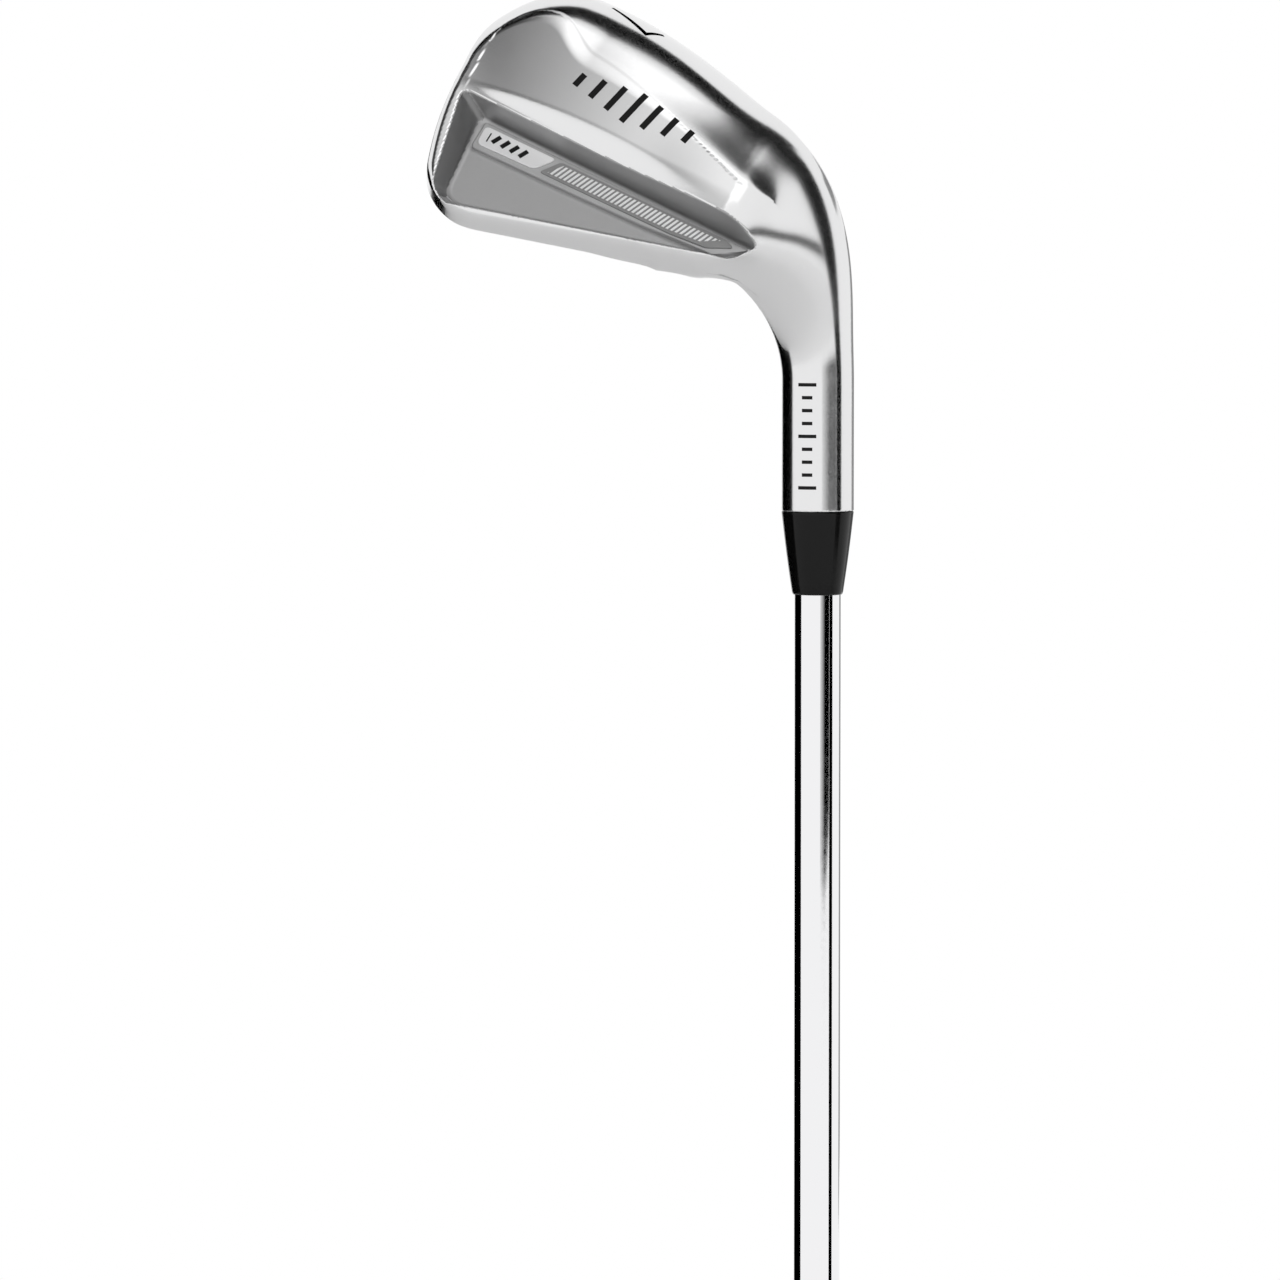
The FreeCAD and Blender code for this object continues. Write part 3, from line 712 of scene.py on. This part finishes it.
steel = satin_steel("head_steel", 0.80, 0.12, 0.18, brush=0.10)
blasted = satin_steel("cavity_steel", 0.50, 0.44, 0.54, brush=0.06)
# Darker steel for the cavity's toe wall: a tone that paints the shade there.
toe_wall_painted_shade_steel = satin_steel("cavity_wall_painted_shade_steel", 0.30, 0.30, 0.38, brush=0.06)
badge_frame_metal = satin_steel("badge_frame_metal", 0.46, 0.34, 0.44)
badge_plate_metal = satin_steel("badge_plate_metal", 0.86, 0.40, 0.50)
badge_rib_metal = satin_steel("badge_rib_metal", 0.86, 0.34, 0.44)
badge_dark = plain("badge_dark", (0.30, 0.30, 0.30), 0.45, metallic=0.9)
black_paint = plain("black_paint", (0.003, 0.003, 0.003), 0.50)
ferrule_black = plain("ferrule_black", (0.003, 0.003, 0.003), 0.14)
for dark in (black_paint, ferrule_black):
    dark.node_tree.nodes["Principled BSDF"].inputs["Specular IOR Level"].default_value = DARK_SPECULAR
chrome = plain("shaft_chrome", (0.88, 0.88, 0.89), 0.045, metallic=1.0, grain=0.015, bump=0.01)
label_film = plain("label_film", (0.03, 0.03, 0.035), 0.30)
white_paint = plain("white_paint", (0.70, 0.70, 0.70), 0.45)
rubber = plain("grip_rubber", (0.018, 0.018, 0.018), 0.62, grain=0.08, grain_scale=1500.0, bump=0.35)
cap_rubber = plain("cap_rubber", (0.016, 0.016, 0.016), 0.50, grain=0.06, bump=0.2)

# ---------------------------------------------------------------- head
HEAD_CELL = 0.34
HEAD_LOW = (-44, -6, -46)
HEAD_HIGH = (72, 70, 28)
POCKET_SKIN = 0.2                     # a face this near the cavity's field belongs to the cavity
FLOOR_FACING = 0.85
TOE_FACING = -0.35
SOLE_FACING = 0.4
TOE_END_H = 50.0

points, quads = skin(head_field, HEAD_LOW, HEAD_HIGH, HEAD_CELL)
points, local_normals = settle(head_field, points)
world_normals = to_world(local_normals) - FACE_ORIGIN
head = add_mesh("head", to_world(points), quads, steel, normals=world_normals)
register(head, "satin_steel", "head_body")

# The cavity's floor and sole side are blasted matt instead of brushed, and its steep toe wall gets a darker
# steel tone that paints the shade falling in the cavity.
head.data.materials.append(blasted)
head.data.materials.append(toe_wall_painted_shade_steel)
middles = points[quads].mean(axis=1)
facing = local_normals[quads].mean(axis=1)
in_pocket = np.abs(cavity_field(middles[:, 0], middles[:, 1], middles[:, 2])) < POCKET_SKIN
on_floor = in_pocket & (facing[:, 2] > FLOOR_FACING)
on_toe_wall = in_pocket & ~on_floor & (middles[:, 0] > TOE_END_H) & (facing[:, 0] < TOE_FACING)
on_sole_side = in_pocket & ~on_floor & ~on_toe_wall & (facing[:, 1] > SOLE_FACING)
# Slot 1 is the blasted finish; slot 2 paints shade on the toe wall.
finish = np.where(on_toe_wall, 2, on_floor | on_sole_side)
head.data.polygons.foreach_set("material_index", finish.astype(np.int32))
head.data.update()

# ---------------------------------------------------------------- badge in the cavity
BASE_TOP = 4.35
PLATE_TOP = 4.80
RIB_FLOOR = PLATE_TOP - 0.16
RIB_SHOULDER = PLATE_TOP - 0.02
RIB_TOP = PLATE_TOP + 0.04
RIB_PITCH = 0.95
RIB_COUNT = 46
RIB_WIDTH = 0.50
RIB_BEVEL = 0.06
RIB_LOW_B = 36.0
RIB_HIGH_B = 43.0
RIB_LEAN = 2.5
RIB_FIRST_H = 0.5
DASH_TOP = PLATE_TOP + 0.02
DASH_PITCH = 2.1
DASH_COUNT = 4

base_outline = rounded([
    (57.2, 38.0), (56.9, 44.3), (37.8, 43.3), (18.1, 42.1), (3.2, 40.6), (-1.6, 37.4), (-3.2, 35.9)], 0.8)
number_outline = rounded([(56.6, 38.9), (40.3, 38.2), (43.2, 42.5), (56.2, 43.4)], 1.2)
rib_outline = rounded([
    (39.3, 38.2), (20.0, 37.3), (1.6, 36.4), (-0.2, 37.2), (4.6, 40.0), (12.1, 41.0), (42.0, 42.4)], 0.7)
rib_field = [(38.4, 38.7), (20.0, 37.9), (2.6, 37.0), (6.4, 39.5), (13.0, 40.4), (40.4, 41.8)]

badge_base = plate("badge_base", base_outline, POCKET_FLOOR, BASE_TOP, 0.18, badge_frame_metal)
register(badge_base, "badge_rubber", "badge_base", "badge_adhesive")
number_plate = plate("badge_number_plate", number_outline, BASE_TOP, PLATE_TOP, 0.12, badge_plate_metal)
register(number_plate, "badge_metal", "badge_number_plate")
rib_plate = plate("badge_rib_plate", rib_outline, BASE_TOP, PLATE_TOP - 0.15, 0.10, badge_dark)
register(rib_plate, "badge_ribbed", "badge_rib_plate")


def slanted_ribs():
    """Raised bars on the ribbed plate, each cut off at the edge of the rib field."""
    rib_points = []
    rib_faces = []
    for index in range(RIB_COUNT):
        foot = RIB_FIRST_H + RIB_PITCH * index
        bar = clip_to(rib_field, bar_between((foot, RIB_LOW_B), (foot + RIB_LEAN, RIB_HIGH_B), RIB_WIDTH))
        if len(bar) < 3:
            continue
        first = len(rib_points)
        count = len(bar)
        top = inset(bar, RIB_BEVEL) if count >= 4 else bar
        for ring, level in ((bar, RIB_FLOOR), (bar, RIB_SHOULDER), (top, RIB_TOP)):
            rib_points += [face_point(h, b, level) for h, b in ring]
        rib_faces += side_faces(first, count, 2)
        rib_faces.append(tuple(range(first + 2 * count, first + 3 * count)))
    return add_mesh("badge_ribs", rib_points, rib_faces, badge_rib_metal, smooth=False)


def badge_dashes():
    """Flat painted dashes on the smooth plate, with a thin tick at their toe end."""
    bars = []
    for index in range(DASH_COUNT):
        across = DASH_PITCH * index
        bars.append(bar_between((46.3 + across, 39.7), (47.2 + across, 41.7), 0.95))
    bars.append(bar_between((54.7, 39.9), (54.6, 42.1), 0.28))
    dashes = []
    for bar in bars:
        dashes += [face_point(h, b, DASH_TOP) for h, b in bar]
    faces = [(4 * k, 4 * k + 1, 4 * k + 2, 4 * k + 3) for k in range(len(bars))]
    return add_mesh("badge_marks", dashes, faces, black_paint, smooth=False)


register(slanted_ribs(), "badge_ribbed")
register(badge_dashes(), "black_paint", "badge_mark_fill")

# ---------------------------------------------------------------- painted marks on the head
SEVEN_WIDTH = 0.75
SEVEN_OUT = 3.5                       # the strokes start this far outside the sole's datum
MUSCLE_MARK_H = 31.3
MUSCLE_MARK_B = 23.6
MUSCLE_MARK_PITCH = 4.2
MUSCLE_MARK_HEIGHTS = (3.0, 4.5, 6.0, 7.5, 6.0, 4.5, 3.0)
MUSCLE_MARK_LEAN = 0.10
MUSCLE_MARK_WIDTH = 1.3
MUSCLE_MARK_OUT = 14.5
TICK_COUNT = 9
TICK_PITCH = 2.6
TICK_FIRST_Z = CLUB_LENGTH - 74.0
TICK_WIDTH = 0.7
TICK_HALF_LENGTH = 1.1
LONG_TICK_HALF_LENGTH = 1.9           # every fourth tick is longer
TICK_MIDDLE_X = -0.45
TICK_OUT_Y = -8.2


def sole_place(h, t):
    """Point outside the sole, below its place heel to toe and front to back."""
    return GROUND + HEEL_TO_TOE * h + TARGET * t - ADDRESS_UP * SEVEN_OUT


def muscle_place(h, b):
    """Point behind the muscle."""
    return face_point(h, b, MUSCLE_MARK_OUT)


def hosel_place(x, z):
    """Point behind the hosel."""
    return np.array([x + TICK_MIDDLE_X, TICK_OUT_Y, z])


seven = [bar_between((35.4, -5.4), (38.3, -8.6), SEVEN_WIDTH),
         bar_between((37.9, -8.5), (47.5, -5.5), SEVEN_WIDTH)]
sole_mark = painted_bars("sole_number", seven, sole_place, ADDRESS_UP, black_paint)
register(sole_mark, "black_paint", "sole_number_fill")

muscle_bars = []
for index, height in enumerate(MUSCLE_MARK_HEIGHTS):
    bar_h = MUSCLE_MARK_H + (index - 3) * MUSCLE_MARK_PITCH
    lean = MUSCLE_MARK_LEAN * height
    start = (bar_h - lean, MUSCLE_MARK_B - height / 2)
    end = (bar_h + lean, MUSCLE_MARK_B + height / 2)
    muscle_bars.append(bar_between(start, end, MUSCLE_MARK_WIDTH))
muscle_mark = painted_bars("muscle_mark", muscle_bars, muscle_place, FACE_NORMAL, black_paint)
register(muscle_mark, "black_paint", "muscle_mark_fill")

tick_bars = []
for index in range(TICK_COUNT):
    half_length = TICK_HALF_LENGTH if index % 4 else LONG_TICK_HALF_LENGTH
    tick_z = TICK_FIRST_Z + TICK_PITCH * index + TICK_WIDTH / 2
    tick_bars.append(bar_between((-half_length, tick_z), (half_length, tick_z), TICK_WIDTH))
hosel_mark = painted_bars("hosel_mark", tick_bars, hosel_place, TARGET, black_paint)
register(hosel_mark, "black_paint", "hosel_mark_fill")

# ---------------------------------------------------------------- ferrule and shaft
FERRULE_BORE_R = TIP_R - 0.3
FERRULE_TIP_R = 5.2
FERRULE_FLARE = 2.06
FERRULE_SWELL = 0.10
FERRULE_EDGE = 0.6
FERRULE_STEPS = 8
TUBE_LOW_Z = 4.0
TUBE_HIGH_Z = HOSEL_END_Z + 20
TUBE_INNER_R = TIP_R - 0.6
FIRST_STEP_Z = 312.0
STEP_SPACING = 31.0
STEP_COUNT = 13
STEP_EASE = 0.03
BAND_LOW_Z = 276.0
BAND_HIGH_Z = 298.0
BAND_UNDER = BUTT_R + 0.005
BAND_EDGE = BUTT_R + 0.07
BAND_OVER = BUTT_R + 0.08

ferrule_low = HOSEL_END_Z - FERRULE_LENGTH
ferrule_profile = [(FERRULE_BORE_R, ferrule_low), (4.86, ferrule_low), (4.98, ferrule_low + 0.05),
                   (5.12, ferrule_low + 0.32), (FERRULE_TIP_R, ferrule_low + FERRULE_EDGE)]
for index in range(1, FERRULE_STEPS + 1):
    part = index / FERRULE_STEPS
    swell = FERRULE_SWELL * math.sin(math.pi * part)
    ring_z = ferrule_low + FERRULE_EDGE + (FERRULE_LENGTH - 2 * FERRULE_EDGE) * part
    ferrule_profile.append((FERRULE_TIP_R + FERRULE_FLARE * part + swell, ring_z))
ferrule_profile += [(7.30, HOSEL_END_Z - 0.3), (7.29, HOSEL_END_Z - 0.1), (7.1, HOSEL_END_Z),
                    (FERRULE_BORE_R, HOSEL_END_Z)]
ferrule = turned("ferrule", ferrule_profile, ferrule_black)
shade_by_angle(ferrule, 40)
register(ferrule, "ferrule_black", "ferrule")

shaft_profile = [(BUTT_R, TUBE_LOW_Z)]
radius = BUTT_R
drop = (BUTT_R - TIP_R) / STEP_COUNT
for index in range(STEP_COUNT):
    step_z = FIRST_STEP_Z + STEP_SPACING * index
    shaft_profile += [(radius, step_z - 0.2), (radius - STEP_EASE, step_z)]
    radius -= drop
    shaft_profile += [(radius + STEP_EASE, step_z + 0.9), (radius, step_z + 1.2)]
shaft_profile += [(TIP_R, TUBE_HIGH_Z), (TUBE_INNER_R, TUBE_HIGH_Z), (TUBE_INNER_R, TUBE_LOW_Z)]
shaft = turned("shaft", shaft_profile, chrome, sides=160)
shade_by_angle(shaft, 30)
register(shaft, "chrome", "shaft")

band_profile = [(BAND_UNDER, BAND_LOW_Z), (BAND_EDGE, BAND_LOW_Z + 0.03), (BAND_OVER, BAND_LOW_Z + 0.1),
                (BAND_OVER, BAND_HIGH_Z - 0.1), (BAND_EDGE, BAND_HIGH_Z - 0.03), (BAND_UNDER, BAND_HIGH_Z)]
band = turned("shaft_band", band_profile, label_film)
shade_by_angle(band, 40)
register(band, "label", "shaft_band")

# ---------------------------------------------------------------- grip
GRIP_LENGTH = 267.0
GRIP_END_R = 13.3
GRIP_MOUTH_R = 9.0
GRIP_PARALLEL = 14.0
GRIP_LIP_Z = 266.0
GRIP_RING_SPACING = 0.6
CAP_HEIGHT = 4.0
VENT_R = 1.5
TREAD_LOW_Z = 20.0
TREAD_HIGH_Z = 228.0
TREAD_FADE = 4.0
TREAD_PITCH = 14.0
TREAD_STARTS = 12
TREAD_DEPTH = 0.38
TREAD_WIDTH = 0.28
RING_LOW_Z = 236.0
RING_HIGH_Z = 239.0
RING_SUNK = 0.2
RING_PROUD = 0.02


def grip_radius(z):
    """Outside of the grip, straight at the butt and then tapering to its mouth."""
    along = (z - GRIP_PARALLEL) / (GRIP_LENGTH - GRIP_PARALLEL)
    return GRIP_END_R + (GRIP_MOUTH_R - GRIP_END_R) * max(0.0, along)


def grip_tread(turn, z):
    """Shallow crossed grooves over the gripping length, fading near the ends and at the painted ring."""
    rise = min(max((z - TREAD_LOW_Z) / TREAD_FADE, 0.0), 1.0)
    fall = min(max((TREAD_HIGH_Z - z) / TREAD_FADE, 0.0), 1.0)
    if rise * fall <= 0:
        return np.zeros_like(turn)
    lead = 2 * math.pi * z / TREAD_PITCH
    left = np.abs(np.sin(0.5 * (TREAD_STARTS * turn + lead)))
    right = np.abs(np.sin(0.5 * (TREAD_STARTS * turn - lead)))
    return -TREAD_DEPTH * rise * fall * np.clip(1 - np.minimum(left, right) / TREAD_WIDTH, 0, 1)


grip_profile = [(BUTT_R + 0.3, CAP_HEIGHT), (GRIP_END_R - 0.1, CAP_HEIGHT), (GRIP_END_R, CAP_HEIGHT + 0.15)]
for z in np.arange(5.0, GRIP_LIP_Z, GRIP_RING_SPACING):
    grip_profile.append((grip_radius(z), float(z)))
grip_profile += [(grip_radius(GRIP_LIP_Z), GRIP_LIP_Z), (8.6, GRIP_LENGTH - 0.3), (8.2, GRIP_LENGTH),
                 (BUTT_R, GRIP_LENGTH), (BUTT_R, GRIP_LIP_Z)]
grip = turned("grip_sleeve", grip_profile, rubber, sides=288, wave=grip_tread)
shade_by_angle(grip, 50)
register(grip, "grip_rubber", "grip_sleeve", "grip_tape")

ring_low_r = grip_radius(RING_LOW_Z)
ring_high_r = grip_radius(RING_HIGH_Z)
ring_profile = [(ring_low_r - RING_SUNK, RING_LOW_Z), (ring_low_r + RING_PROUD, RING_LOW_Z),
                (ring_high_r + RING_PROUD, RING_HIGH_Z), (ring_high_r - RING_SUNK, RING_HIGH_Z)]
ring_mark = turned("grip_ring_mark", ring_profile, white_paint)
register(ring_mark, "white_paint", "grip_mark_fill")

# The cap's flat end and rounded rim, then back along the vent hole.
cap_profile = [(VENT_R, 0.0), (10.8, 0.0), (11.6, 0.05), (12.4, 0.35), (12.95, 0.85), (13.22, 1.5),
               (GRIP_END_R, 2.3), (GRIP_END_R, 3.6), (13.15, CAP_HEIGHT),
               (VENT_R, CAP_HEIGHT), (VENT_R, 2.0)]
cap = turned("grip_cap", cap_profile, cap_rubber)
shade_by_angle(cap, 40)
register(cap, "grip_rubber", "grip_cap")

# ---------------------------------------------------------------- studio
VIEW_AZIMUTH = math.radians(15.0)
VIEW_ELEVATION = math.radians(3.5)
toward_camera = Vector((math.sin(VIEW_AZIMUTH) * math.cos(VIEW_ELEVATION),
                        -math.cos(VIEW_AZIMUTH) * math.cos(VIEW_ELEVATION), math.sin(VIEW_ELEVATION)))
image_right = Vector((math.cos(VIEW_AZIMUTH), math.sin(VIEW_AZIMUTH), 0.0))
image_up = toward_camera.cross(image_right)
head_centre = Vector((0.0, 0.0, CLUB_LENGTH * MM))
CAMERA_DISTANCE = 1.5
FRAME_WIDTH = 0.2586
FRAME_RIGHT = -0.0360                 # middle of the picture, from the heel datum
FRAME_UP = -0.1046
SENSOR_WIDTH = 36.0
target = head_centre + image_right * FRAME_RIGHT + image_up * FRAME_UP

camera_data = bpy.data.cameras.new("camera")
camera = bpy.data.objects.new("camera", camera_data)
bpy.context.scene.collection.objects.link(camera)
rotation = Matrix((image_right, image_up, toward_camera)).transposed().to_4x4()
camera.matrix_world = Matrix.Translation(target + toward_camera * CAMERA_DISTANCE) @ rotation
camera_data.sensor_width = SENSOR_WIDTH
camera_data.lens = SENSOR_WIDTH * CAMERA_DISTANCE / FRAME_WIDTH
camera_data.clip_start = 0.05
camera_data.clip_end = 50.0
bpy.context.scene.camera = camera


def glow(name, strength):
    """Plain white emitting surface."""
    material = bpy.data.materials.new(name)
    material.use_nodes = True
    tree = material.node_tree
    tree.nodes.clear()
    light = tree.nodes.new("ShaderNodeEmission")
    light.inputs["Color"].default_value = (1, 1, 1, 1)
    light.inputs["Strength"].default_value = strength
    output = tree.nodes.new("ShaderNodeOutputMaterial")
    tree.links.new(light.outputs["Emission"], output.inputs["Surface"])
    return material


def panel(name, azimuth, elevation, width, height, distance, material):
    """Flat panel that faces the head; azimuth and elevation in degrees from the camera's direction."""
    a = VIEW_AZIMUTH + math.radians(azimuth)
    e = math.radians(elevation)
    direction = Vector((math.sin(a) * math.cos(e), -math.cos(a) * math.cos(e), math.sin(e)))
    side = Vector((math.cos(a), math.sin(a), 0.0))
    up = direction.cross(side)
    middle = head_centre + direction * distance
    mesh = bpy.data.meshes.new(name)
    corners = []
    for sx, sy in ((-1, -1), (1, -1), (1, 1), (-1, 1)):
        corners.append(tuple(middle + side * (sx * width / 2) + up * (sy * height / 2)))
    mesh.from_pydata(corners, [], [(0, 1, 2, 3)])
    places = mesh.uv_layers.new(name="panel")
    for corner, spot in enumerate(((0, 0), (1, 0), (1, 1), (0, 1))):
        places.data[corner].uv = spot
    mesh.materials.append(material)
    thing = bpy.data.objects.new(name, mesh)
    bpy.context.scene.collection.objects.link(thing)
    thing.visible_camera = False
    thing.visible_shadow = False


def graded_glow(name, left, right, start, end):
    """Emitting surface whose light changes from one side of its own panel to the other."""
    material = glow(name, 1.0)
    tree = material.node_tree
    coords = tree.nodes.new("ShaderNodeTexCoord")
    parts = tree.nodes.new("ShaderNodeSeparateXYZ")
    tree.links.new(coords.outputs["UV"], parts.inputs["Vector"])
    level = ranged(tree, parts.outputs["X"], left, right, start, end)
    tree.links.new(level, tree.nodes["Emission"].inputs["Strength"])
    return material


black = glow("flag_black", 0.0)
dim_grey = glow("flag_grey", 0.30)

# Dark flags stand where the chrome shows black, between the white surroundings.
# Each has its azimuth and elevation in degrees, then its width, height and distance in metres.
fading_grey = graded_glow("flag_right_graded", 0.75, 0.0, 0.0, 0.5)
panel("flag_right", 70, 22, 0.75, 3.2, 2.0, black)
panel("flag_right_graded", 36, -4, 1.75, 0.22, 2.02, fading_grey)
for index, azimuth in enumerate((-98, -114, -130, -146)):
    panel("flag_left_%d" % index, azimuth, -6, 0.60, 1.5, 2.0, black)
for index, azimuth in enumerate((118, 134)):
    panel("flag_side_%d" % index, azimuth, 20, 0.60, 0.45, 2.0, dim_grey)
for index, azimuth in enumerate((146, 162, 178)):
    panel("flag_back_%d" % index, azimuth, -4, 0.60, 0.62, 2.05, dim_grey)

# A dark strip overhead, and a graded softbox in front of it that shades the muscle from toe to heel.
rising_white = graded_glow("softbox_graded", 0.05, 1.35, 0.40, 0.62)
panel("flag_ceiling", 0, 82, 3.6, 0.85, 2.0, black)
panel("softbox_graded", -12, 50, 3.0, 1.25, 2.05, rising_white)

FLOOR_RADIUS = 4.0
FLOOR_SIDES = 96
FLOOR_Z = -0.0005
floor_mesh = bpy.data.meshes.new("floor")
floor_points = []
for i in range(FLOOR_SIDES):
    turn = 2 * math.pi * i / FLOOR_SIDES
    floor_points.append((FLOOR_RADIUS * math.cos(turn), FLOOR_RADIUS * math.sin(turn), FLOOR_Z))
floor_mesh.from_pydata(floor_points, [], [tuple(range(FLOOR_SIDES))])
floor_mesh.materials.append(plain("floor_pale", (0.90, 0.90, 0.90), 0.7))
floor = bpy.data.objects.new("floor", floor_mesh)
bpy.context.scene.collection.objects.link(floor)

world = bpy.data.worlds.new("studio")
bpy.context.scene.world = world
world.use_nodes = True
world.node_tree.nodes["Background"].inputs["Color"].default_value = (1.0, 1.0, 1.0, 1)
world.node_tree.nodes["Background"].inputs["Strength"].default_value = 1.0
bpy.context.scene.view_settings.view_transform = "Standard"
bpy.context.scene.view_settings.look = "None"
bpy.context.scene.view_settings.exposure = 0.0
